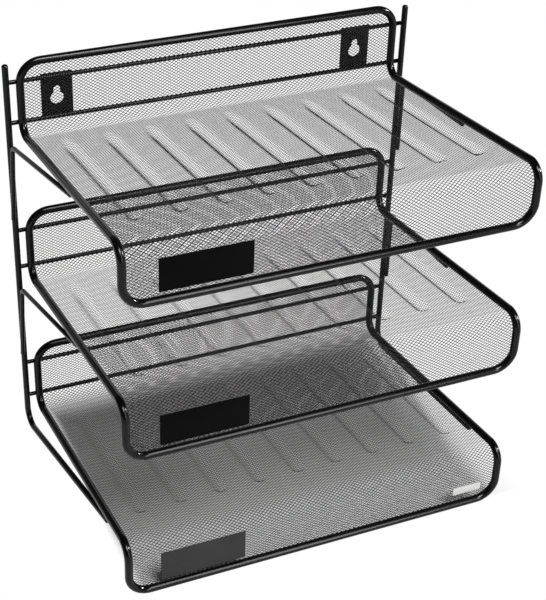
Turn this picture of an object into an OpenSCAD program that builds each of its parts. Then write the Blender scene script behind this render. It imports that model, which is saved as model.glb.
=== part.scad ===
// Three-tier mesh desk shelf, in millimetres.
// Front is -Y, up is +Z, the origin is the bottom centre of the whole shelf.

/* [Trays] */
// Width between the centre lines of a tray's side wires
tray_w = 300; // [260:1:340]
// Depth between the centre lines of a tray's back and front wires
tray_d = 222; // [205:1:240]
// Slope of the floor, which rises towards the front, in degrees
floor_tilt = 8.2; // [6.5:0.1:9.2]
// Height of the back wall above the floor's back corner
back_h = 56.5; // [52:0.5:70]
// Drop of the front apron below the floor's front corner
apron_h = 44.5; // [42:0.5:56]
// Height from one tray to the next
tier_pitch = 124; // [112:1:150]

/* [Wires] */
// Diameter of the tray rims
rim_wire = 6; // [5:0.1:7]
// Diameter of the posts
post_wire = 4.8; // [4:0.1:5.6]
// Diameter of the cross wires on the back
cross_wire = 3.4; // [2.6:0.1:4]
// Diameter of the struts
strut_wire = 3.5; // [2.6:0.1:4.2]
// Distance of the posts outside the rims, centre line to centre line
post_out = 10; // [8:0.5:13]
// Clearance where two pieces are welded together
weld_gap = 0.1; // [0.05:0.05:0.3]

/* [Bends] */
// Radius of the rim's four corners, seen from the front
corner_r = 16; // [13:0.5:20]
// Bend radius between back wall and floor
heel_r = 11; // [9:0.5:13]
// Bend radius between floor and apron
brow_r = 12; // [10:0.5:14]
// Bend radius at the foot of a post
foot_r = 12; // [9:0.5:15]
// Bend radius of a strut
strut_r = 5; // [4:0.5:8]

/* [Feet and struts] */
// Distance from the back plane to the end of a foot
foot_reach = 178; // [150:1:190]
// Distance from the back plane to the end of a strut
strut_reach = 118; // [90:1:150]
// Drop of a strut's tail below its tray
strut_tail = 57; // [45:1:65]
// Height of a strut's bend above the lowest level of its tray
strut_rise = 6.5; // [4:0.5:9]
// Distance of a strut's bend in front of its post
strut_stand = 7.4; // [6:0.1:9]
// Place of the tail's weld round the post, in degrees from the front
tail_turn = 29; // [0:1:45]

/* [Cross wires] */
// Drop of the upper cross wire below the tray's top edge
upper_drop = 16.5; // [12:0.5:20]
// Height of the lower cross wire above the floor's back corner
lower_rise = 7.5; // [6:0.5:12]
// Length by which a cross wire passes a post's centre line
cross_over = 1; // [0:0.5:2]

/* [Mesh] */
// Thickness of the mesh sheet
mesh_t = 0.8; // [0.6:0.1:1]
// Width of a mesh strand
strand_w = 2; // [1.5:0.1:2.6]
// Least width of the plain edge round a sheet
hem_w = 4; // [3:0.5:6]
// Rows of diamonds along the flat of the floor
floor_rows = 8; // [6:1:8]
// Rows of diamonds up the flat of the back wall
back_rows = 2; // [1:1:2]
// Rows of diamonds down the flat of the apron
apron_rows = 1; // [1:1:2]

/* [Ribs] */
// Number of ribs pressed into a floor
rib_count = 9; // [5:2:9]
// Distance between two ribs
rib_pitch = 31.5; // [28:0.5:32]
// Width of a rib on the underside
rib_w = 8; // [6:0.5:9]
// Depth of a rib below the floor
rib_depth = 2.4; // [1.6:0.1:3]
// Distance from the floor's back corner to the ribs
rib_back = 43; // [36:1:60]
// Distance from the floor's front corner to the ribs
rib_front = 37; // [36:1:60]

/* [Plates] */
// Distance between the two keyholes
keyhole_spacing = 242; // [200:1:246]
// Width of a keyhole plate
keyhole_plate_w = 24; // [20:0.5:26]
// Thickness of a keyhole plate
keyhole_plate_t = 1.2; // [1:0.1:2]
// Diameter of a keyhole's round opening
keyhole_d = 10; // [8:0.5:11]
// Width of a keyhole's slot
slot_w = 5; // [4:0.1:5.5]
// Height of the slot's end above the round opening's centre
slot_rise = 7; // [6:0.5:8]
// Width of a label plate
label_w = 65; // [50:1:80]
// Height of a label plate
label_h = 25; // [20:0.1:26]
// Thickness of a label plate
label_t = 1; // [0.6:0.1:1.6]
// Distance from the rim's left centre line to a label plate
label_inset = 24; // [18:0.5:60]
// Height of a label plate above the rim's lower centre line
label_rise = 6.7; // [5:0.1:12]
// Width of the badge
badge_w = 24; // [16:0.5:32]
// Height of the badge
badge_h = 6.4; // [5:0.2:10]
// Thickness of the badge
badge_t = 1.2; // [0.8:0.1:1.6]
// Distance from the rim's right centre line to the badge
badge_inset = 14; // [12:0.5:40]
// Height of the badge above the rim's lower centre line
badge_rise = 10.8; // [6:0.2:16]

/* [Hidden] */
$fn = 48;
black = "#17181a";
mesh_black = "#222326";
label_black = "#101113";
badge_white = "#f2f2f0";
tiers = ["bottom", "middle", "top"];
sides = ["left", "right"];

// Frame: the whole depth is centred on Y, the lowest rim lies on Z = 0
depth = rim_wire + tray_d + 2 * weld_gap + cross_wire + keyhole_plate_t;
front_y = rim_wire / 2 - depth / 2;
back_y = front_y + tray_d;
function tray_z(tier) = rim_wire / 2 + tier * tier_pitch;

// The S profile of a tray, in heights above its lowest centre line
turn = 90 + floor_tilt;
floor_l = tray_d / cos(floor_tilt);
heel_z = apron_h - tray_d * tan(floor_tilt);
top_z = heel_z + back_h;
heel_cut = heel_r * tan(turn / 2);
brow_cut = brow_r * tan(turn / 2);
floor_flat = floor_l - heel_cut - brow_cut;
function rim_z(reach) = heel_z + reach * tan(floor_tilt);
function under_rim(reach, wire) = rim_z(reach) - (rim_wire / 2 + wire / 2 + weld_gap) / cos(floor_tilt);

// Posts and cross wires
post_x = tray_w / 2 + post_out;
post_y = back_y + rim_wire / 2 - post_wire / 2;
post_top = tray_z(2) + top_z;
foot_end_z = rim_wire / 2 + under_rim(foot_reach, post_wire);
foot_slope = atan(foot_end_z / norm([foot_reach, post_out]));
foot_corner_z = post_wire / 2 + foot_r - foot_r * (cos(foot_slope) + (1 + sin(foot_slope)) * tan(foot_slope));
cross_y = back_y + rim_wire / 2 + weld_gap + cross_wire / 2;
upper_z = top_z - upper_drop;
lower_z = heel_z + lower_rise;

// Mesh sheets
sheet_w = tray_w - rim_wire - 2 * weld_gap;
sheet_corner_r = corner_r - rim_wire / 2 - weld_gap;
back_flat = back_h - heel_cut - rim_wire / 2 - weld_gap;
apron_flat = apron_h - brow_cut - rim_wire / 2 - weld_gap;
cell_w = rib_pitch / 2;
half_cols = floor((sheet_w / 2 - hem_w) / cell_w);
net_half = half_cols * cell_w;
seam_turn = weld_gap / 2 / heel_r * 180 / PI;

// Ribs, measured along the floor's flat
rib_from = rib_back - heel_cut;
rib_to = floor_l - rib_front - heel_cut;
rib_r = (rib_w * rib_w / 4 + rib_depth * rib_depth) / 2 / rib_depth;
rib_edge = 0.8;
cut_extra = 1;
function rib_x(i) = (i - (rib_count - 1) / 2) * rib_pitch;
function nearest_rib(x) = min(max(round(x / rib_pitch + (rib_count - 1) / 2), 0), rib_count - 1);

// A bend is a trace thicker than the straights, which reach into it, so that they join as one solid
bend_swell = 0.02;
bend_lap = 0.2;
function unit(v) = v / norm(v);

// One wire along +Z, leg by leg: [straight, turn, bend radius, roll before the turn]
module wire_run(d, legs, i = 0) {
    leg = legs[i];
    last = len(legs) - 1;
    start = i > 0 ? -bend_lap : 0;
    end = leg[0] + (i < last ? bend_lap : 0);
    translate([0, 0, start]) cylinder(d = d, h = end - start);
    if (i < last)
        translate([0, 0, leg[0]]) rotate([0, 0, leg[3]]) {
            translate([leg[2], 0, 0]) rotate([90, 0, 180])
                rotate_extrude(angle = leg[1]) translate([leg[2], 0]) circle(d = d + bend_swell);
            translate([leg[2], 0, 0]) rotate([0, leg[1], 0]) translate([-leg[2], 0, 0])
                wire_run(d, legs, i + 1);
        }
}

// A wire from a to c with one bend where the lines through b meet
module bent_wire(d, a, b, c, r) {
    along = unit(b - a);
    rest = c - b;
    across = unit(rest - along * (rest * along));
    third = cross(along, across);
    bend = acos(along * unit(rest));
    cut = r * tan(bend / 2);
    multmatrix([
        [across.x, third.x, along.x, a.x],
        [across.y, third.y, along.y, a.y],
        [across.z, third.z, along.z, a.z],
    ])
        wire_run(d, [[norm(b - a) - cut, bend, r, 0], [norm(rest) - cut]]);
}

// Right half of a rim, from the middle of the front edge to the middle of the back edge
module half_rim() {
    half = tray_w / 2 - corner_r + cut_extra;
    difference() {
        translate([-cut_extra, front_y, 0]) rotate([0, 90, 0]) rotate([0, 0, 180])
            wire_run(rim_wire, [
                [half, 90, corner_r, 0],
                [apron_h - corner_r - brow_cut, turn, brow_r, -90],
                [floor_flat, turn, heel_r, 180],
                [back_h - heel_cut - corner_r, 90, corner_r, -90],
                [half],
            ]);
        translate([-2 * cut_extra, front_y - rim_wire, -rim_wire])
            cube([2 * cut_extra, tray_d + 2 * rim_wire, top_z + 2 * rim_wire]);
    }
}

module tray_rim(tier) {
    color(black) translate([0, 0, tray_z(tier)]) {
        half_rim();
        mirror([1, 0, 0]) half_rim();
    }
}

// Profile of half a bend, from the flat at the origin towards -X and up
module half_bend(r) {
    a = turn / 2 - seam_turn;
    translate([0, r]) intersection() {
        difference() {
            circle(r = r + mesh_t / 2);
            circle(r = r - mesh_t / 2);
        }
        polygon([[0, 0], [-2 * r * sin(a), -2 * r * cos(a)], [0, -2 * r]]);
    }
}

module sheet(flat) {
    rotate([90, 0, 90]) linear_extrude(sheet_w, center = true) {
        translate([0, -mesh_t / 2]) square([flat, mesh_t]);
        children();
    }
}

// Corners of a gap: half widths a, half lengths b, cut short at the distances c to left and right
function gap_right(a, up, down, c) =
    c >= a ? [[a, 0]] : c > 0 ? [[c, -down * (1 - c / a)], [c, up * (1 - c / a)]] : [];
function gap_left(a, up, down, c) =
    c >= a ? [[-a, 0]] : c > 0 ? [[-c, up * (1 - c / a)], [-c, -down * (1 - c / a)]] : [];
function inset(half, other) = half - strand_w / 2 * norm([half, other]) / other;

// One diamond of the net, shrunk by the strands round it
module gap(down, up, left = cell_w, right = cell_w) {
    b = max(up, down);
    a = inset(cell_w / 2, b);
    top = up > 0 ? inset(up, cell_w / 2) : 0;
    low = down > 0 ? inset(down, cell_w / 2) : 0;
    polygon(concat([[0, -low]], gap_right(a, top, low, right), [[0, top]], gap_left(a, top, low, left)));
}

// Diamonds across the middle of a bend, which two panels share
module bend_gaps(r) {
    b = r * sin(turn / 2);
    translate([0, 0, r]) rotate([-turn / 2, 0, 0]) translate([0, 0, -r])
        linear_extrude(r, center = true)
            for (i = [-half_cols:half_cols - 1]) translate([(i + 0.5) * cell_w, 0]) gap(b, b);
}

// Rows of diamonds on a flat; the first and last row reach into a bend or stop at a hem
module flat_gaps(length, rows, before, after, ribbed = false, corner = 0) {
    half_l = length / rows / 2;
    linear_extrude(2 * heel_r, center = true)
        for (j = [0:2 * rows]) {
            odd = j % 2;
            down = j == 0 ? before : half_l;
            up = j == 2 * rows ? after : half_l;
            s = j * half_l;
            reach = j == 2 * rows ? net_half - corner : net_half;
            for (i = [-half_cols:half_cols - odd]) {
                x = (i + odd / 2) * cell_w;
                off = x - rib_x(nearest_rib(x));
                near = ribbed && s + up > rib_from && s - down < rib_to;
                free = near ? abs(off) - rib_w / 2 - rib_edge : cell_w;
                left = x <= -net_half ? 0 : (off > 0 && free > 0 ? free : cell_w);
                right = x >= net_half ? 0 : (off < 0 && free > 0 ? free : cell_w);
                // In line with a rib, a gap stops short of the rib's end
                room_up = free > 0 || s > rib_to ? up : min(up, rib_from - rib_edge - s);
                room_down = free > 0 || s < rib_from ? down : min(down, s - rib_to - rib_edge);
                if (abs(x) <= reach && (free > 0 || min(room_up, room_down) > 2 * strand_w))
                    translate([x, s]) gap(room_down, room_up, left, right);
            }
        }
}

// Back wall or apron: a flat with two round corners and half a bend
module wall_mesh(flat, rows, r) {
    net_l = flat - hem_w;
    color(mesh_black) difference() {
        sheet(flat) half_bend(r);
        flat_gaps(net_l, rows, r * sin(turn / 2), 0, corner = sheet_corner_r);
        bend_gaps(r);
        for (side = [0, 1]) mirror([side, 0, 0])
            translate([sheet_w / 2 - sheet_corner_r, flat - sheet_corner_r])
                linear_extrude(2 * mesh_t, center = true) difference() {
                    square(sheet_corner_r + cut_extra);
                    circle(r = sheet_corner_r);
                }
    }
}

module back_mesh(tier) {
    translate([0, back_y, tray_z(tier) + heel_z + heel_cut]) rotate([90, 0, 0])
        wall_mesh(back_flat, back_rows, heel_r);
}

module apron_mesh(tier) {
    translate([0, front_y, tray_z(tier) + apron_h - brow_cut]) rotate([-90, 0, 0])
        wall_mesh(apron_flat, apron_rows, brow_r);
}

// Round-ended bar along +Y, the outside or the inside of a rib
module rib_bar(r) {
    l = rib_to - rib_from - rib_w;
    translate([0, rib_from + rib_w / 2, mesh_t / 2 + rib_depth - rib_r]) rotate([-90, 0, 0])
        rotate_extrude() intersection() {
            union() {
                square([r, l]);
                circle(r = r);
                translate([0, l]) circle(r = r);
            }
            translate([0, -r]) square([r, l + 2 * r]);
        }
}

module rib_row(r) {
    for (i = [0:rib_count - 1]) translate([rib_x(i), 0, 0]) rib_bar(r);
}

// Floor: a flat with half a bend at each end and the ribs pressed down
module floor_mesh(tier) {
    heel_at = [0, back_y - heel_cut * cos(floor_tilt), tray_z(tier) + heel_z + heel_cut * sin(floor_tilt)];
    color(mesh_black) translate(heel_at) rotate([180 - floor_tilt, 0, 0]) difference() {
        union() {
            sheet(floor_flat) {
                mirror([0, 1]) half_bend(heel_r);
                translate([floor_flat, 0]) mirror([1, 0]) half_bend(brow_r);
            }
            intersection() {
                rib_row(rib_r);
                translate([-sheet_w / 2, 0, 0]) cube([sheet_w, floor_flat, 2 * rib_depth]);
            }
        }
        rib_row(rib_r - mesh_t);
        flat_gaps(floor_flat, floor_rows, heel_r * sin(turn / 2), brow_r * sin(turn / 2), ribbed = true);
        mirror([0, 0, 1]) bend_gaps(heel_r);
        translate([0, floor_flat, 0]) mirror([0, 1, 0]) bend_gaps(brow_r);
    }
}

module post(side) {
    s = side == 0 ? -1 : 1;
    color(black) bent_wire(
        post_wire,
        [s * post_x, post_y, post_top],
        [s * post_x, post_y, foot_corner_z],
        [s * tray_w / 2, back_y - foot_reach, foot_end_z],
        foot_r
    );
}

module strut(tier, side) {
    s = side == 0 ? -1 : 1;
    weld = post_wire / 2 + strut_wire / 2 + weld_gap;
    z = tray_z(tier);
    color(black) bent_wire(
        strut_wire,
        [s * (post_x + weld * sin(tail_turn)), post_y - weld * cos(tail_turn), z - strut_tail],
        [s * post_x, post_y - strut_stand, z + strut_rise],
        [s * tray_w / 2, back_y - strut_reach, z + under_rim(strut_reach, strut_wire)],
        strut_r
    );
}

module cross_bar(z) {
    color(black) translate([0, cross_y, z]) rotate([0, 90, 0])
        cylinder(d = cross_wire, h = 2 * (post_x + cross_over), center = true);
}

module keyhole_plate(side) {
    plate_h = upper_z - lower_z + cross_wire;
    round_z = plate_h / 2 - slot_rise / 3;
    color(black)
        translate([
            (side - 0.5) * keyhole_spacing,
            cross_y + cross_wire / 2 + weld_gap + keyhole_plate_t,
            tray_z(2) + lower_z - cross_wire / 2,
        ])
        rotate([90, 0, 0]) linear_extrude(keyhole_plate_t) difference() {
            translate([-keyhole_plate_w / 2, 0]) square([keyhole_plate_w, plate_h]);
            translate([0, round_z]) {
                circle(d = keyhole_d);
                translate([-slot_w / 2, 0]) square([slot_w, slot_rise]);
                translate([0, slot_rise]) circle(d = slot_w);
            }
        }
}

// A flat plate on the front of an apron, from its lower left corner
module apron_plate(tier, x, rise, w, h, t) {
    translate([x, front_y - mesh_t / 2 - weld_gap - t, tray_z(tier) + rise]) cube([w, t, h]);
}

module label_plate(tier) {
    color(label_black) apron_plate(tier, label_inset - tray_w / 2, label_rise, label_w, label_h, label_t);
}

module badge_plate() {
    color(badge_white)
        apron_plate(0, tray_w / 2 - badge_inset - badge_w, badge_rise, badge_w, badge_h, badge_t);
}

for (i = [0, 1]) {
    post(i);
    keyhole_plate(i);
    strut(1, i);
    strut(2, i);
}
for (i = [0:2]) {
    tray_rim(i);
    back_mesh(i);
    floor_mesh(i);
    apron_mesh(i);
    cross_bar(tray_z(i) + upper_z);
    cross_bar(tray_z(i) + lower_z);
    label_plate(i);
}
badge_plate();
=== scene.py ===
"""Looks of a three-tier mesh desk shelf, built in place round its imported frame.

Sizes are in millimetres in the frame's own axes: front is -Y, up is +Z.
A finished piece is scaled to metres.
"""

import logging
import math
from dataclasses import dataclass
from enum import Enum

import bmesh
import bpy
from mathutils import Matrix, Vector


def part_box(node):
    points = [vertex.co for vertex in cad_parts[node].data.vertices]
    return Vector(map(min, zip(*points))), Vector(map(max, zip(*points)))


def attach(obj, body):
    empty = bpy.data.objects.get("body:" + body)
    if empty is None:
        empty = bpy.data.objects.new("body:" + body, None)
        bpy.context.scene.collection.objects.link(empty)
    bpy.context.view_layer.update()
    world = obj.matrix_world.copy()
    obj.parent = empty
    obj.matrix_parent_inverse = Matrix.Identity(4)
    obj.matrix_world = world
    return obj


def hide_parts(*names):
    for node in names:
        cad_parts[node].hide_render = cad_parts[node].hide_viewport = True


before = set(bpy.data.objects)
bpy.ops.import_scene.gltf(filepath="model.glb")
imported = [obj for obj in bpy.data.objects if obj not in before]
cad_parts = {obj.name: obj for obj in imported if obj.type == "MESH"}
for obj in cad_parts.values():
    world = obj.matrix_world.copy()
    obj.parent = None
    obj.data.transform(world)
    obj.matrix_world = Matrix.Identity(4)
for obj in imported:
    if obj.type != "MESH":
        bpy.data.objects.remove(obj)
log = logging.getLogger("mesh_shelf")

MM = 0.001
BODY = "root"
PHOTO_W = 546
PHOTO_H = 600
# Points of a mesh closer than this are one point
MERGE_MM = 0.001
# Points closer than this to a cut lie on it
CUT_MM = 1e-5
# Edges that turn more than this stay sharp
CREASE = math.radians(40)
WHITE = (1.0, 1.0, 1.0, 1.0)


class Tier(Enum):
    """The three trays, from the table up."""

    BOTTOM = "bottom"
    MIDDLE = "middle"
    TOP = "top"


class Side(Enum):
    """Left or right as seen from the front, with the sign of X."""

    LEFT = -1
    RIGHT = 1

    @property
    def word(self) -> str:
        """The side's name as the frame's nodes have it."""
        return self.name.lower()


class Level(Enum):
    """The two wires across the back of a tray."""

    UPPER = "upper"
    LOWER = "lower"


class Slot(Enum):
    """The record's material slots."""

    WIRE = "wire"
    MESH = "mesh"
    LABEL = "label"
    BADGE = "badge"


def linear(colour: str) -> tuple[float, float, float, float]:
    """Turn an sRGB hex colour into linear light.

    Args:
        colour: The colour as #rrggbb.

    Returns:
        Red, green, blue and alpha from 0 to 1.
    """
    parts = [int(colour[i : i + 2], 16) / 255 for i in (1, 3, 5)]
    red, green, blue = (c / 12.92 if c <= 0.04045 else ((c + 0.055) / 1.055) ** 2.4 for c in parts)
    return red, green, blue, 1.0


def add_node(
    tree: bpy.types.NodeTree, kind: str, inputs: dict | None = None, **settings: object
) -> bpy.types.Node:
    """Add one node, set it up and fill its sockets.

    Args:
        tree: The node tree that gets the node.
        kind: The node's type name.
        inputs: A value, or another node's output to link, for each input by name or number.
        settings: The node's own properties.

    Returns:
        The new node.
    """
    node = tree.nodes.new(kind)
    for name, value in settings.items():
        setattr(node, name, value)
    for socket, value in (inputs or {}).items():
        if isinstance(value, bpy.types.NodeSocket):
            tree.links.new(value, node.inputs[socket])
        else:
            node.inputs[socket].default_value = value
    return node


@dataclass(frozen=True)
class Skin:
    """A thin even skin, baked, painted or moulded, with a faint orange peel.

    The eye sees one deep colour in cloudy patches of tone, and reflections that ripple a little.
    """

    name: str
    dark: str
    pale: str
    roughness: float
    gloss: float = 0.5
    ior: float = 1.5
    cloud_mm: float = 24.0
    cloud_detail: float = 3.0
    cloud_roughness: float = 0.55
    # The shares of the clouds' range over which the tone and the sheen change
    tone_from: float = 0.35
    tone_to: float = 0.68
    sheen_from: float = 0.3
    sheen_to: float = 0.7
    # The share by which the roughness swings either way
    sheen_swing: float = 0.15
    peel_mm: float = 1.6
    peel_detail: float = 1.0
    peel_depth_mm: float = 0.02

    def material(self) -> bpy.types.Material:
        """Build the finish, or fetch it if it is there already.

        Returns:
            The material, named for what the skin is.
        """
        made = bpy.data.materials.get(self.name)
        if made:
            return made
        made = bpy.data.materials.new(self.name)
        made.use_nodes = True
        tree = made.node_tree
        tree.nodes.clear()
        place = add_node(tree, "ShaderNodeTexCoord").outputs["Object"]
        cloud = add_node(
            tree,
            "ShaderNodeTexNoise",
            {
                "Vector": place,
                "Scale": 1 / (self.cloud_mm * MM),
                "Detail": self.cloud_detail,
                "Roughness": self.cloud_roughness,
            },
        )
        tone = add_node(tree, "ShaderNodeValToRGB", {"Fac": cloud.outputs["Fac"]})
        stops = ((self.tone_from, self.dark), (self.tone_to, self.pale))
        for stop, (position, colour) in zip(tone.color_ramp.elements, stops):
            stop.position = position
            stop.color = linear(colour)
        peel = add_node(
            tree,
            "ShaderNodeTexNoise",
            {"Vector": place, "Scale": 1 / (self.peel_mm * MM), "Detail": self.peel_detail},
        )
        ripple = add_node(
            tree,
            "ShaderNodeBump",
            {"Height": peel.outputs["Fac"], "Strength": 1.0, "Distance": self.peel_depth_mm * MM},
        )
        sheen = add_node(
            tree,
            "ShaderNodeMapRange",
            {
                "Value": cloud.outputs["Fac"],
                "From Min": self.sheen_from,
                "From Max": self.sheen_to,
                "To Min": self.roughness * (1 - self.sheen_swing),
                "To Max": self.roughness * (1 + self.sheen_swing),
            },
        )
        skin = add_node(
            tree,
            "ShaderNodeBsdfPrincipled",
            {
                "Base Color": tone.outputs["Color"],
                "Roughness": sheen.outputs["Result"],
                "Normal": ripple.outputs["Normal"],
                "IOR": self.ior,
                "Specular IOR Level": self.gloss,
            },
        )
        add_node(tree, "ShaderNodeOutputMaterial", {"Surface": skin.outputs["BSDF"]})
        return made


# Steel wire with a thick baked epoxy coat: glossy black with sharp white glints in the bends
COATED_WIRE = Skin("black_coated_steel_wire", "#060607", "#0c0c0d", roughness=0.17, gloss=0.2)
# The same coat on the thin strands of slit and drawn steel: a little paler and duller
COATED_MESH = Skin("black_coated_expanded_steel", "#151516", "#1f1f20", roughness=0.45, gloss=0.2)
# Matt paint on a flat steel plate: nearly black, with hardly any sheen
LABEL_PAINT = Skin("black_matt_painted_steel", "#060607", "#0a0a0b", roughness=0.6, gloss=0.03)
# The same paint on the lowest label, lightened to a dark grey as a painted reflection of the bright floor
# in front of it
LABEL_PAINTED_REFLECTION = Skin("faded_matt_painted_steel", "#363637", "#3d3d3e", roughness=0.6, gloss=0.1)
# Moulded gloss plastic: clean white with a soft highlight
WHITE_PLASTIC = Skin("white_gloss_plastic", "#d8d8d6", "#e2e2e0", roughness=0.22, peel_depth_mm=0.005)


def finish_piece(
    bm: bmesh.types.BMesh, name: str, finish: Skin, nodes: list[str]
) -> bpy.types.Object:
    """Turn a mesh in millimetres into a dressed piece that rides on the shelf.

    Args:
        bm: The modelled mesh, which is used up.
        name: The piece's name.
        finish: What it is coated with.
        nodes: The frame's nodes that the piece stands for.

    Returns:
        The finished object, at the origin.
    """
    bmesh.ops.scale(bm, vec=(MM, MM, MM), verts=bm.verts)
    mesh = bpy.data.meshes.new(name)
    bm.to_mesh(mesh)
    bm.free()
    mesh.shade_smooth()
    mesh.set_sharp_from_angle(angle=CREASE)
    return dress(mesh, name, finish, nodes)


def dress(
    mesh: bpy.types.Mesh, name: str, finish: Skin, nodes: list[str]
) -> bpy.types.Object:
    """Make a mesh in metres a piece of the shelf.

    Args:
        mesh: The finished mesh.
        name: The piece's name.
        finish: What it is coated with.
        nodes: The frame's nodes that the piece stands for.

    Returns:
        The object, riding on the shelf's one body.
    """
    mesh.materials.append(finish.material())
    piece = bpy.data.objects.new(name, mesh)
    bpy.context.scene.collection.objects.link(piece)
    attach(piece, BODY)
    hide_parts(*nodes)
    log.info("%s: %d faces", name, len(mesh.polygons))
    return piece


class WireBender:
    """Walks a round wire leg by leg, as a wire is bent on a former."""

    SIDES = 24
    STEP = math.radians(7)
    LEAST_STEPS = 3
    END_STEPS = 4
    # The rounding at a wire's end, as a share of its diameter
    END_SHARE = 0.3

    def __init__(self, diameter: float, start: Vector, heading: Vector) -> None:
        """Set the first ring of the wire.

        Args:
            diameter: The wire's diameter.
            start: Where its centre line starts.
            heading: The direction of its first leg.
        """
        self.radius = diameter / 2
        self.edge = diameter * self.END_SHARE
        self.at = start.copy()
        self.heading = heading.normalized()
        self.bm = bmesh.new()
        turn = self.heading.to_track_quat("Z", "Y").to_matrix().to_4x4()
        bmesh.ops.create_circle(
            self.bm, segments=self.SIDES, radius=self.radius, matrix=Matrix.Translation(start) @ turn
        )
        self.ring = self.bm.edges[:]

    def grow(self) -> list[bmesh.types.BMVert]:
        """Extrude the open ring on the spot.

        Returns:
            The new ring's vertices.
        """
        made = bmesh.ops.extrude_edge_only(self.bm, edges=self.ring)["geom"]
        self.ring = [e for e in made if isinstance(e, bmesh.types.BMEdge)]
        return [v for v in made if isinstance(v, bmesh.types.BMVert)]

    def straight(self, length: float) -> None:
        """Draw a straight leg.

        Args:
            length: The leg's length.
        """
        step = self.heading * length
        bmesh.ops.translate(self.bm, vec=step, verts=self.grow())
        self.at = self.at + step

    def bend(self, radius: float, angle: float, towards: Vector) -> None:
        """Spin the ring round a bend.

        Args:
            radius: The bend's radius at the centre line.
            angle: The turn in radians.
            towards: Direction from the wire to the bend's centre.
        """
        inwards = (towards - self.heading * towards.dot(self.heading)).normalized()
        axis = self.heading.cross(inwards)
        centre = self.at + inwards * radius
        ends = list({v for e in self.ring for v in e.verts})
        spun = bmesh.ops.spin(
            self.bm,
            geom=ends + self.ring,
            cent=centre,
            axis=axis,
            angle=angle,
            steps=max(self.LEAST_STEPS, round(angle / self.STEP)),
        )["geom_last"]
        self.ring = [e for e in spun if isinstance(e, bmesh.types.BMEdge)]
        turn = Matrix.Rotation(angle, 3, axis)
        self.at = centre + turn @ (self.at - centre)
        self.heading = turn @ self.heading

    def last_leg(self, length: float) -> None:
        """Draw the last straight leg and close it with a rounded edge and a flat face.

        Args:
            length: The leg's length with its rounded end.
        """
        self.straight(length - self.edge)
        for k in range(1, self.END_STEPS + 1):
            now, before = (math.radians(90) * n / self.END_STEPS for n in (k, k - 1))
            verts = self.grow()
            wide, narrow = (self.radius - self.edge * (1 - math.cos(a)) for a in (before, now))
            step = self.heading * self.edge * (math.sin(now) - math.sin(before))
            share = (narrow / wide,) * 3
            bmesh.ops.scale(self.bm, vec=share, verts=verts, space=Matrix.Translation(-self.at))
            bmesh.ops.translate(self.bm, vec=step, verts=verts)
            self.at = self.at + step
        bmesh.ops.contextual_create(self.bm, geom=self.ring)

    def mesh(self) -> bmesh.types.BMesh:
        """Face the finished wire outwards and hand its mesh over."""
        bmesh.ops.recalc_face_normals(self.bm, faces=self.bm.faces)
        return self.bm


def bent_wire(
    diameter: float, start: Vector, corner: Vector, finish: Vector, radius: float
) -> bmesh.types.BMesh:
    """Bend a wire with two closed ends and one corner.

    Args:
        diameter: The wire's diameter.
        start: One end of the centre line.
        corner: Where the two legs' lines meet.
        finish: The other end.
        radius: The bend's radius.

    Returns:
        The closed wire.
    """
    first = corner - start
    second = finish - corner
    angle = first.angle(second)
    cut = radius * math.tan(angle / 2)
    inner = start + first.normalized() * (first.length - cut)
    # Both ends are closed from the bend outwards, so each half is walked on its own
    near = WireBender(diameter, inner, -first)
    near.last_leg(first.length - cut)
    far = WireBender(diameter, inner, first)
    far.bend(radius, angle, second)
    far.last_leg(second.length - cut)
    return join_halves(near.bm, far.bm)


def join_halves(near: bmesh.types.BMesh, far: bmesh.types.BMesh) -> bmesh.types.BMesh:
    """Join two halves of a wire at their open rings.

    Args:
        near: One half.
        far: The other half, which is used up.

    Returns:
        The first half with the other in it, facing outwards.
    """
    carrier = bpy.data.meshes.new("carrier")
    far.to_mesh(carrier)
    far.free()
    near.from_mesh(carrier)
    bpy.data.meshes.remove(carrier)
    bmesh.ops.remove_doubles(near, verts=near.verts, dist=MERGE_MM)
    bmesh.ops.recalc_face_normals(near, faces=near.faces)
    return near


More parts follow.
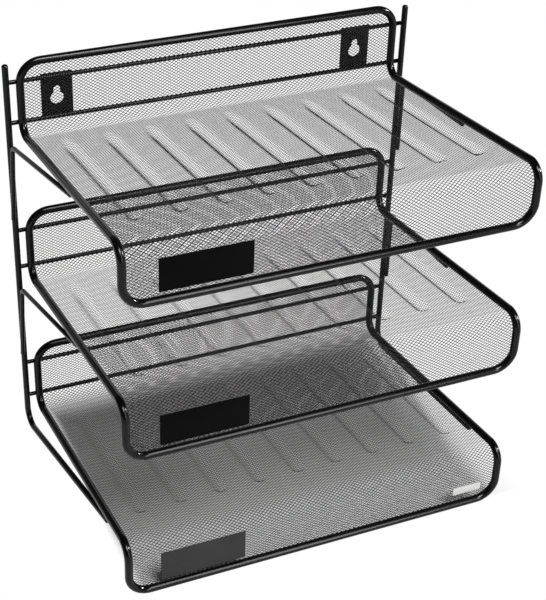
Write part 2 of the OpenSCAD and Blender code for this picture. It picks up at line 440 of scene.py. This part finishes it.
@dataclass
class TrayForm:
    """The S-shaped section of a tray and the outline of its sheet, laid flat and bent."""

    rim_wire: float = 6.0
    tilt: float = math.radians(8.2)
    apron_h: float = 44.5
    corner_r: float = 16.0
    heel_r: float = 11.0
    brow_r: float = 12.0

    def __post_init__(self) -> None:
        """Take the overall sizes from the frame and work out where the sheet bends."""
        low, high = (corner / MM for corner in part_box("bottom_rim"))
        wire_r = self.rim_wire / 2
        self.half_w = (high.x - low.x) / 2 - wire_r
        self.front_y = low.y + wire_r
        self.back_y = high.y - wire_r
        self.top_z = high.z - low.z - self.rim_wire
        self.depth = self.back_y - self.front_y
        self.turn = math.radians(90) + self.tilt
        self.heel_z = self.apron_h - self.depth * math.tan(self.tilt)
        self.heel_cut = self.heel_r * math.tan(self.turn / 2)
        self.brow_cut = self.brow_r * math.tan(self.turn / 2)
        self.floor_flat = self.depth / math.cos(self.tilt) - self.heel_cut - self.brow_cut
        self.back_flat = self.top_z - self.heel_z - self.heel_cut
        self.apron_flat = self.apron_h - self.brow_cut
        self.heel_at = self.back_flat
        self.floor_at = self.heel_at + self.heel_r * self.turn
        self.brow_at = self.floor_at + self.floor_flat
        self.apron_at = self.brow_at + self.brow_r * self.turn
        self.length = self.apron_at + self.apron_flat

    def base_z(self, tier: Tier) -> float:
        """Height of a tray's lowest centre line."""
        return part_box(f"{tier.value}_rim")[0].z / MM + self.rim_wire / 2

    def rim_z(self, reach: float) -> float:
        """Height of the rim's sloping side at a distance from the back, above the tray's lowest line."""
        return self.heel_z + reach * math.tan(self.tilt)

    def under_rim(self, reach: float, wire: float) -> float:
        """Height of a wire that touches the sloping side from below."""
        return self.rim_z(reach) - (self.rim_wire + wire) / 2 / math.cos(self.tilt)

    def bent(self, across: float, along: float, lift: float) -> Vector:
        """Bend one point of the flat sheet into the tray's section.

        Args:
            across: Distance from the tray's middle.
            along: Distance down the sheet from the top wire at the back.
            lift: Height above the sheet's middle, on the side that faces up.

        Returns:
            The point, with heights above the tray's lowest centre line.
        """
        if along <= self.heel_at:
            y, z, facing = self.back_y, self.top_z - along, math.pi
        elif along <= self.floor_at:
            swing = (along - self.heel_at) / self.heel_r
            facing = math.pi - swing
            y = self.back_y - self.heel_r - self.heel_r * math.cos(facing)
            z = self.heel_z + self.heel_cut - self.heel_r * math.sin(facing)
        elif along <= self.brow_at:
            facing = math.pi - self.turn
            run = along - self.floor_at + self.heel_cut
            y = self.back_y - run * math.cos(self.tilt)
            z = self.heel_z + run * math.sin(self.tilt)
        elif along <= self.apron_at:
            facing = math.pi - self.turn + (along - self.brow_at) / self.brow_r
            y = self.front_y + self.brow_r + self.brow_r * math.cos(facing)
            z = self.apron_flat + self.brow_r * math.sin(facing)
        else:
            y, z, facing = self.front_y, self.length - along, math.pi
        return Vector((across, y + lift * math.cos(facing), z + lift * math.sin(facing)))


@dataclass
class Rims:
    """The wire frames of the three trays."""

    form: TrayForm

    def half(self, base: float) -> bmesh.types.BMesh:
        """Bend the right half of a rim, from the front middle to the back middle.

        Args:
            base: Height of the tray's lowest centre line.

        Returns:
            The open half, cut at the middle plane.
        """
        form = self.form
        up, back, left = Vector((0, 0, 1)), Vector((0, 1, 0)), Vector((-1, 0, 0))
        quarter = math.radians(90)
        wire = WireBender(form.rim_wire, Vector((0, form.front_y, base)), -left)
        wire.straight(form.half_w - form.corner_r)
        wire.bend(form.corner_r, quarter, up)
        wire.straight(form.apron_flat - form.corner_r)
        wire.bend(form.brow_r, form.turn, back)
        wire.straight(form.floor_flat)
        wire.bend(form.heel_r, form.turn, up)
        wire.straight(form.back_flat - form.corner_r)
        wire.bend(form.corner_r, quarter, left)
        wire.straight(form.half_w - form.corner_r)
        return wire.mesh()

    def build(self) -> None:
        """Make each rim as a half and its mirror image."""
        for tier in Tier:
            rim = self.half(self.form.base_z(tier))
            bmesh.ops.mirror(
                rim, geom=rim.verts[:] + rim.edges[:] + rim.faces[:], axis="X", merge_dist=MERGE_MM
            )
            bmesh.ops.recalc_face_normals(rim, faces=rim.faces)
            name = f"{tier.value}_rim"
            finish_piece(rim, f"{name}_wire", COATED_WIRE, [name])


def trim(bm: bmesh.types.BMesh, point: Vector, out: Vector) -> None:
    """Cut away all of a mesh beyond a plane.

    Args:
        bm: The mesh to trim.
        point: A point on the plane.
        out: The direction that is cut away.
    """
    geom = bm.verts[:] + bm.edges[:] + bm.faces[:]
    bmesh.ops.bisect_plane(bm, geom=geom, dist=CUT_MM, plane_co=point, plane_no=out, clear_outer=True)


@dataclass
class Nets:
    """The expanded steel sheets of the three trays, with ribs pressed into the floors."""

    form: TrayForm
    # Width and length of a diamond and width of a strand, as such sheets have them
    cell_w: float = 3.6
    cell_l: float = 2.4
    strand: float = 0.46
    flatness: float = 0.7
    rib_count: int = 9
    rib_pitch: float = 31.5
    rib_half_w: float = 7.0
    rib_depth: float = 3.4
    rib_back: float = 43.0
    rib_ramp: float = 4.0
    rib_front: float = 37.0
    corner_cuts: int = 6

    def rib_drop(self, across: float, along: float) -> float:
        """Depth of the pressed ribs at a place on the flat sheet.

        Args:
            across: Distance from the tray's middle.
            along: Distance down the sheet from the top wire at the back.

        Returns:
            How far the sheet lies below the floor there.
        """
        form = self.form
        index = round(across / self.rib_pitch)
        if abs(index) > self.rib_count // 2:
            return 0.0
        first = form.floor_at + self.rib_back - form.heel_cut + self.rib_half_w
        last = form.brow_at - self.rib_front + form.brow_cut - self.rib_half_w
        # The ribs run out softly towards the back wall and end round at the front
        beyond = max((first - along) / self.rib_ramp, along - last, 0.0)
        off = math.hypot(across - index * self.rib_pitch, beyond) / self.rib_half_w
        return self.rib_depth * (0.5 + 0.5 * math.cos(math.pi * off)) if off < 1 else 0.0

    def lattice(self) -> bmesh.types.BMesh:
        """Lay out the flat sheet of one tray as plain diamonds, trimmed to the rim's centre line.

        Returns:
            The flat sheet, X across and Y down from the top wire at the back.
        """
        form = self.form
        middle = form.length / 2
        count = 2 * math.ceil(form.half_w / self.cell_w + middle / self.cell_l) + 2
        half_diagonal = count / 2
        sheet = bmesh.new()
        # The grid's corner reaches half a diagonal from its middle once it is turned by 45 degrees
        bmesh.ops.create_grid(sheet, x_segments=count, y_segments=count, size=half_diagonal / math.sqrt(2))
        bmesh.ops.rotate(sheet, verts=sheet.verts, matrix=Matrix.Rotation(math.radians(45), 3, "Z"))
        bmesh.ops.scale(sheet, vec=(self.cell_w, self.cell_l, 1), verts=sheet.verts)
        bmesh.ops.translate(sheet, vec=(0, middle, 0), verts=sheet.verts)
        for x, y in ((-1, 0), (1, 0), (0, -1), (0, 1)):
            trim(sheet, Vector((x * form.half_w, middle + y * middle, 0)), Vector((x, y, 0)))
        corner_x = form.half_w - form.corner_r
        corner_y = middle - form.corner_r
        for x in (-1, 1):
            for y in (-1, 1):
                centre = Vector((x * corner_x, middle + y * corner_y, 0))
                for k in range(self.corner_cuts):
                    angle = math.radians(90) * (k + 0.5) / self.corner_cuts
                    out = Vector((x * math.cos(angle), y * math.sin(angle), 0))
                    trim(sheet, centre + out * form.corner_r, out)
        return sheet

    def strands(self) -> bmesh.types.BMesh:
        """Turn the plain diamonds into strands, with a flat map of the sheet for its finish.

        Returns:
            The flat net of a whole tray.
        """
        net = self.lattice()
        bmesh.ops.wireframe(
            net,
            faces=net.faces,
            thickness=self.strand,
            use_replace=True,
            use_boundary=True,
            use_even_offset=True,
        )
        # The sheet is rolled flat after it is slit and drawn out
        bmesh.ops.scale(net, vec=(1, 1, self.flatness), verts=net.verts)
        layout = net.loops.layers.uv.new("OFBake")
        for face in net.faces:
            for loop in face.loops:
                place = loop.vert.co
                loop[layout].uv = (0.5 + place.x / self.form.length, place.y / self.form.length)
        return net

    def panel(self, net: bmesh.types.BMesh, cuts: list[tuple[Vector, Vector]]) -> bmesh.types.BMesh:
        """Cut one panel from the flat net and bend it into the tray's section.

        Args:
            net: The flat net of the whole tray, which is kept.
            cuts: A point and an outward direction for each cut.

        Returns:
            The bent panel, with closed strands.
        """
        part = net.copy()
        for point, out in cuts:
            trim(part, point, out)
        bmesh.ops.holes_fill(part, edges=[e for e in part.edges if e.is_boundary], sides=0)
        for vert in part.verts:
            across, along, lift = vert.co
            vert.co = self.form.bent(across, along, lift - self.rib_drop(across, along))
        bmesh.ops.recalc_face_normals(part, faces=part.faces)
        return part

    def build(self) -> None:
        """Make the panels of the lowest tray and repeat them on the trays above."""
        form = self.form
        net = self.strands()
        heel = Vector((0, (form.heel_at + form.floor_at) / 2, 0))
        brow = Vector((0, (form.brow_at + form.apron_at) / 2, 0))
        down, across = Vector((0, 1, 0)), Vector((1, 0, 0))
        middle = Vector((0, 0, 0))
        panels = {
            "back": ([(heel, down)], "back_mesh"),
            "floor_left": ([(heel, -down), (brow, down), (middle, across)], "floor_mesh"),
            "floor_right": ([(heel, -down), (brow, down), (middle, -across)], "floor_mesh"),
            "apron": ([(brow, -down)], "apron_mesh"),
        }
        for panel, (cuts, node) in panels.items():
            part = self.panel(net, cuts)
            bmesh.ops.scale(part, vec=(MM, MM, MM), verts=part.verts)
            flat = bpy.data.meshes.new(panel)
            part.to_mesh(flat)
            part.free()
            flat.shade_smooth()
            for tier in Tier:
                mesh = flat.copy()
                mesh.transform(Matrix.Translation((0, 0, form.base_z(tier) * MM)))
                dress(mesh, f"{tier.value}_{panel}_net", COATED_MESH, [f"{tier.value}_{node}"])
            bpy.data.meshes.remove(flat)
        net.free()


@dataclass
class Uprights:
    """The two posts with their feet, the struts under the trays and the cross wires behind them."""

    form: TrayForm
    post_wire: float = 4.8
    strut_wire: float = 3.5
    cross_wire: float = 3.4
    post_out: float = 10.0
    foot_r: float = 12.0
    foot_reach: float = 178.0
    strut_r: float = 5.0
    strut_reach: float = 118.0
    strut_tail: float = 57.0
    strut_rise: float = 6.5
    strut_stand: float = 7.4
    tail_turn: float = math.radians(29)

    def __post_init__(self) -> None:
        """Place the posts against the rims."""
        self.post_x = self.form.half_w + self.post_out
        self.post_y = self.form.back_y + (self.form.rim_wire - self.post_wire) / 2

    def post(self, side: Side) -> None:
        """Bend a post, from its top down to the end of its foot.

        Args:
            side: Which of the two posts.
        """
        form = self.form
        name = f"{side.word}_post"
        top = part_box(name)[1].z / MM
        end_z = form.base_z(Tier.BOTTOM) + form.under_rim(self.foot_reach, self.post_wire)
        slope = math.atan(end_z / math.hypot(self.foot_reach, self.post_out))
        # The lowest point of the foot's bend rests on the table
        bend_cut = self.foot_r * math.tan((math.radians(90) + slope) / 2)
        corner_z = self.post_wire / 2 + self.foot_r - bend_cut
        x = side.value * self.post_x
        wire = bent_wire(
            self.post_wire,
            Vector((x, self.post_y, top)),
            Vector((x, self.post_y, corner_z)),
            Vector((side.value * form.half_w, form.back_y - self.foot_reach, end_z)),
            self.foot_r,
        )
        finish_piece(wire, f"{name}_wire", COATED_WIRE, [name])

    def strut(self, tier: Tier, side: Side) -> None:
        """Bend a strut, from its tail on the post to its end under the rim.

        Args:
            tier: The tray that the strut holds.
            side: Which of the tray's sides.
        """
        form = self.form
        base = form.base_z(tier)
        reach = (self.post_wire + self.strut_wire) / 2
        x = side.value * self.post_x
        tail = Vector((side.value * math.sin(self.tail_turn), -math.cos(self.tail_turn), 0)) * reach
        wire = bent_wire(
            self.strut_wire,
            Vector((x, self.post_y, base - self.strut_tail)) + tail,
            Vector((x, self.post_y - self.strut_stand, base + self.strut_rise)),
            Vector((
                side.value * form.half_w,
                form.back_y - self.strut_reach,
                base + form.under_rim(self.strut_reach, self.strut_wire),
            )),
            self.strut_r,
        )
        name = f"{tier.value}_{side.word}_strut"
        finish_piece(wire, f"{name}_wire", COATED_WIRE, [name])

    def cross(self, tier: Tier, level: Level) -> None:
        """Lay a straight wire across the back, on both posts and the rim.

        Args:
            tier: The tray that the wire crosses.
            level: Which of the tray's two wires.
        """
        name = f"{tier.value}_{level.value}_cross_wire"
        low, high = (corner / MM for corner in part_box(name))
        halves = []
        for side in Side:
            wire = WireBender(self.cross_wire, (low + high) / 2, Vector((side.value, 0, 0)))
            wire.last_leg((high.x - low.x) / 2)
            halves.append(wire.bm)
        finish_piece(join_halves(*halves), f"{name}_bar", COATED_WIRE, [name])

    def build(self) -> None:
        """Make the posts, struts and cross wires."""
        for side in Side:
            self.post(side)
            for tier in (Tier.MIDDLE, Tier.TOP):
                self.strut(tier, side)
        for tier in Tier:
            for level in Level:
                self.cross(tier, level)


@dataclass
class Plates:
    """The keyhole plates on the back, the label plates and the blank badge on the aprons."""

    keyhole_r: float = 5.0
    slot_half_w: float = 2.5
    slot_rise: float = 7.0
    # How far the round opening lies below the plate's middle, as a share of the slot's rise
    round_drop: float = 1 / 3
    arc_steps: int = 20
    label_corner_r: float = 0.8
    badge_corner_r: float = 1.2
    corner_steps: int = 5
    edge: float = 0.25
    edge_steps: int = 2
    # Edges that turn more than this are eased
    edge_turn: float = math.radians(60)

    def keyhole_plate(self, side: Side) -> None:
        """Stamp a plate with a keyhole.

        Its outlines are drawn in the wall's plane, filled, thickened and eased at the edges.

        Args:
            side: Which of the two plates.
        """
        name = f"{side.word}_keyhole_plate"
        low, high = (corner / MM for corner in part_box(name))
        middle = (low + high) / 2
        round_z = middle.z - self.slot_rise * self.round_drop
        plate = bmesh.new()
        # The keyhole starts where the slot's right wall meets the round opening
        start = math.sqrt(self.keyhole_r**2 - self.slot_half_w**2)
        first = plate.verts.new((middle.x + self.slot_half_w, low.y, round_z + start))
        swing = 2 * math.pi - 2 * math.asin(self.slot_half_w / self.keyhole_r)
        last = self.sweep(plate, first, Vector((middle.x, low.y, round_z)), swing)
        last = self.draw(plate, last, Vector((0, 0, self.slot_rise - start)))
        last = self.sweep(plate, last, Vector((middle.x, low.y, round_z + self.slot_rise)), math.pi)
        plate.edges.new((last, first))
        corner = plate.verts.new((low.x, low.y, low.z))
        turn = corner
        for step in ((high.x - low.x, 0, 0), (0, 0, high.z - low.z), (low.x - high.x, 0, 0)):
            turn = self.draw(plate, turn, Vector(step))
        plate.edges.new((turn, corner))
        bmesh.ops.triangle_fill(plate, use_beauty=True, edges=plate.edges)
        grown = bmesh.ops.extrude_face_region(plate, geom=plate.faces[:])["geom"]
        moved = [v for v in grown if isinstance(v, bmesh.types.BMVert)]
        bmesh.ops.translate(plate, vec=(0, high.y - low.y, 0), verts=moved)
        self.ease(plate)
        finish_piece(plate, f"{name}_stamping", COATED_WIRE, [name])

    def sweep(
        self, bm: bmesh.types.BMesh, vert: bmesh.types.BMVert, centre: Vector, angle: float
    ) -> bmesh.types.BMVert:
        """Spin a vertex round an arc, seen clockwise from the front.

        Args:
            bm: The mesh that is drawn.
            vert: The arc's first vertex.
            centre: The arc's centre.
            angle: The arc's turn in radians.

        Returns:
            The arc's last vertex.
        """
        spun = bmesh.ops.spin(
            bm, geom=[vert], cent=centre, axis=(0, 1, 0), angle=angle, steps=self.arc_steps
        )
        return next(v for v in spun["geom_last"] if isinstance(v, bmesh.types.BMVert))

    def draw(self, bm: bmesh.types.BMesh, vert: bmesh.types.BMVert, step: Vector) -> bmesh.types.BMVert:
        """Extrude a vertex along a straight line.

        Args:
            bm: The mesh that is drawn.
            vert: The line's first vertex.
            step: The line's length and direction.

        Returns:
            The line's last vertex.
        """
        new = bmesh.ops.extrude_vert_indiv(bm, verts=[vert])["verts"][0]
        bmesh.ops.translate(bm, vec=step, verts=[new])
        return new

    def ease(self, bm: bmesh.types.BMesh) -> None:
        """Face a plate outwards and round its sharp edges.

        Args:
            bm: The plate's mesh.
        """
        bmesh.ops.recalc_face_normals(bm, faces=bm.faces)
        sharp = [e for e in bm.edges if e.calc_face_angle(0) > self.edge_turn]
        bmesh.ops.bevel(
            bm,
            geom=sharp,
            offset=self.edge,
            affect="EDGES",
            segments=self.edge_steps,
            profile=0.5,
            material=-1,
        )

    def flat_plate(self, node: str, corner_r: float, finish: Skin) -> None:
        """Make a flat plate with rounded corners and eased edges from its node's box.

        Args:
            node: The frame's node.
            corner_r: Radius of the four corners.
            finish: What the plate is coated with.
        """
        low, high = (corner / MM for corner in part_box(node))
        size = high - low
        plate = bmesh.new()
        bmesh.ops.create_cube(plate, size=1)
        bmesh.ops.scale(plate, vec=size, verts=plate.verts)
        bmesh.ops.translate(plate, vec=(low + high) / 2, verts=plate.verts)
        upright = [e for e in plate.edges if abs((e.verts[0].co - e.verts[1].co).y) > size.y / 2]
        bmesh.ops.bevel(
            plate,
            geom=upright,
            offset=corner_r,
            affect="EDGES",
            segments=self.corner_steps,
            profile=0.5,
            material=-1,
        )
        self.ease(plate)
        finish_piece(plate, f"{node}_face", finish, [node])

    def build(self) -> None:
        """Make all plates."""
        for side in Side:
            self.keyhole_plate(side)
        for tier in Tier:
            # The lowest label's paler grey is a painted reflection of the bright floor, not a colour of
            # its own
            paint = LABEL_PAINTED_REFLECTION if tier is Tier.BOTTOM else LABEL_PAINT
            self.flat_plate(f"{tier.value}_label_plate", self.label_corner_r, paint)
        self.flat_plate("badge_plate", self.badge_corner_r, WHITE_PLASTIC)


@dataclass(frozen=True)
class GlossLight:
    """A bright panel that shows in gloss and doesn't light matt surfaces, in metres."""

    name: str
    watts: float
    width: float
    height: float
    azimuth: float
    elevation: float
    away: float


# A small lamp at the right: the white glints in the bends
GLINT = GlossLight("glint", 32.0, 0.16, 0.16, math.radians(71), math.radians(29), away=1.7)
# A tall strip in front: the long grey stripes on the front wires
STRIP = GlossLight("strip", 500.0, 1.1, 10.0, math.radians(21), math.radians(36), away=8.0)
# A pale wall behind: the soft sheen on the side wires
PALE_WALL = GlossLight("pale_wall", 92.0, 8.6, 3.2, math.radians(168), math.radians(10), away=6.0)


@dataclass
class Studio:
    """A white floor, soft light and the camera at the photograph's angle."""

    target: tuple[float, float, float] = (5.6, -1.4, 149.4)
    azimuth: float = math.radians(-24.76)
    elevation: float = math.radians(33.89)
    roll: float = math.radians(2.28)
    distance: float = 1182.6
    focal_px: float = 1571.2
    sensor: float = 36.0
    near_m: float = 0.05
    far_m: float = 50.0
    floor_m: float = 40.0
    floor_white: str = "#f8f8f8"
    # The shelf's shadow is kept on the floor inside these bounds, and fades out over the second length
    shade_left: tuple[float, float] = (134.0, 10.0)
    shade_right: tuple[float, float] = (126.0, 56.0)
    shade_front: tuple[float, float] = (106.0, 8.0)
    shade_back: tuple[float, float] = (95.0, 45.0)
    key: float = 3.0
    key_azimuth: float = math.radians(6)
    key_elevation: float = math.radians(57)
    key_size: float = math.radians(24)
    ambient: float = 0.05

    @staticmethod
    def direction(azimuth: float, elevation: float) -> Vector:
        """Unit vector towards a place round the shelf, with azimuth from the front to the right."""
        flat = math.cos(elevation)
        return Vector((math.sin(azimuth) * flat, -math.cos(azimuth) * flat, math.sin(elevation)))

    def camera(self) -> None:
        """Set the camera by its angles round the target."""
        back = self.direction(self.azimuth, self.elevation)
        right = Vector((math.cos(self.azimuth), math.sin(self.azimuth), 0))
        up = back.cross(right)
        rolled_right = right * math.cos(self.roll) + up * math.sin(self.roll)
        rolled_up = up * math.cos(self.roll) - right * math.sin(self.roll)
        lens = bpy.data.cameras.new("camera")
        lens.sensor_width = self.sensor
        lens.lens = self.focal_px / max(PHOTO_W, PHOTO_H) * lens.sensor_width
        lens.clip_start = self.near_m
        lens.clip_end = self.far_m
        camera = bpy.data.objects.new("camera", lens)
        axes = Matrix((rolled_right, rolled_up, back)).transposed().to_4x4()
        place = (Vector(self.target) + back * self.distance) * MM
        camera.matrix_world = Matrix.Translation(place) @ axes
        bpy.context.scene.collection.objects.link(camera)
        bpy.context.scene.camera = camera

    def paper(self) -> bpy.types.Material:
        """Build the floor's paper: it takes the shelf's shadow close round it and is bright beyond.

        Returns:
            The material, matt white where the shadow falls.
        """
        paper = bpy.data.materials.new("white_paper_sweep")
        paper.use_nodes = True
        tree = paper.node_tree
        tree.nodes.clear()
        place = add_node(tree, "ShaderNodeTexCoord").outputs["Object"]
        axes = add_node(tree, "ShaderNodeSeparateXYZ", {"Vector": place}).outputs
        clear: bpy.types.NodeSocket | float = 0.0
        for axis, sign, (edge, fade) in (
            ("X", -1, self.shade_left),
            ("X", 1, self.shade_right),
            ("Y", -1, self.shade_front),
            ("Y", 1, self.shade_back),
        ):
            beyond = add_node(
                tree,
                "ShaderNodeMapRange",
                {
                    "Value": axes[axis],
                    "From Min": sign * edge * MM,
                    "From Max": sign * (edge + fade) * MM,
                },
                interpolation_type="SMOOTHSTEP",
            )
            either = {0: clear, 1: beyond.outputs["Result"]}
            clear = add_node(tree, "ShaderNodeMath", either, operation="MAXIMUM").outputs[0]
        ray = add_node(tree, "ShaderNodeLightPath").outputs
        kinds = {0: ray["Is Glossy Ray"], 1: ray["Is Transmission Ray"]}
        mirrored = add_node(tree, "ShaderNodeMath", kinds, operation="ADD")
        kinds = {0: ray["Is Camera Ray"], 1: mirrored.outputs[0]}
        seen = add_node(tree, "ShaderNodeMath", kinds, operation="ADD", use_clamp=True)
        share = add_node(tree, "ShaderNodeMath", {0: clear, 1: seen.outputs[0]}, operation="MULTIPLY")
        matt = add_node(tree, "ShaderNodeBsdfDiffuse", {"Color": linear(self.floor_white)})
        bright = add_node(tree, "ShaderNodeEmission", {"Color": WHITE, "Strength": 1.0})
        mix = add_node(
            tree, "ShaderNodeMixShader", {0: share.outputs[0], 1: matt.outputs[0], 2: bright.outputs[0]}
        )
        add_node(tree, "ShaderNodeOutputMaterial", {"Surface": mix.outputs["Shader"]})
        return paper

    def floor(self) -> None:
        """Lay the white floor."""
        sheet = bmesh.new()
        bmesh.ops.create_grid(sheet, x_segments=1, y_segments=1, size=self.floor_m / 2)
        mesh = bpy.data.meshes.new("floor")
        sheet.to_mesh(mesh)
        sheet.free()
        mesh.materials.append(self.paper())
        floor = bpy.data.objects.new("floor", mesh)
        bpy.context.scene.collection.objects.link(floor)

    def lights(self) -> None:
        """Hang the soft key light, three lights that only show in the gloss, and a dim surround."""
        key = bpy.data.lights.new("key", "SUN")
        key.energy = self.key
        key.angle = self.key_size
        self.aim(key, self.direction(self.key_azimuth, self.key_elevation))
        for gloss in (GLINT, STRIP, PALE_WALL):
            panel = bpy.data.lights.new(gloss.name, "AREA")
            panel.shape = "RECTANGLE"
            panel.size = gloss.width
            panel.size_y = gloss.height
            panel.energy = gloss.watts
            place = self.direction(gloss.azimuth, gloss.elevation) * gloss.away
            self.aim(panel, place, lights_matt=False)
        world = bpy.data.worlds.new("dim_studio")
        world.use_nodes = True
        tree = world.node_tree
        tree.nodes.clear()
        glow = add_node(tree, "ShaderNodeBackground", {"Color": WHITE, "Strength": self.ambient})
        add_node(tree, "ShaderNodeOutputWorld", {"Surface": glow.outputs["Background"]})
        bpy.context.scene.world = world

    @staticmethod
    def aim(light: bpy.types.Light, place: Vector, lights_matt: bool = True) -> None:
        """Hang a light, facing the shelf.

        Args:
            light: The light.
            place: Where it hangs, in metres.
            lights_matt: Whether it lights matt surfaces as well as showing in gloss.
        """
        lamp = bpy.data.objects.new(light.name, light)
        lamp.visible_camera = False
        lamp.visible_diffuse = lights_matt
        lamp.matrix_world = Matrix.Translation(place) @ place.to_track_quat("Z", "Y").to_matrix().to_4x4()
        bpy.context.scene.collection.objects.link(lamp)

    def build(self) -> None:
        """Set the stage."""
        bpy.context.scene.view_settings.view_transform = "Standard"
        self.camera()
        self.floor()
        self.lights()


def main() -> None:
    """Build the shelf's looks piece by piece."""
    logging.basicConfig(level=logging.INFO, format="%(name)s %(message)s")
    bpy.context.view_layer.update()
    form = TrayForm()
    Studio().build()
    Rims(form).build()
    Uprights(form).build()
    Plates().build()
    Nets(form).build()


if __name__ == "__main__":
    main()
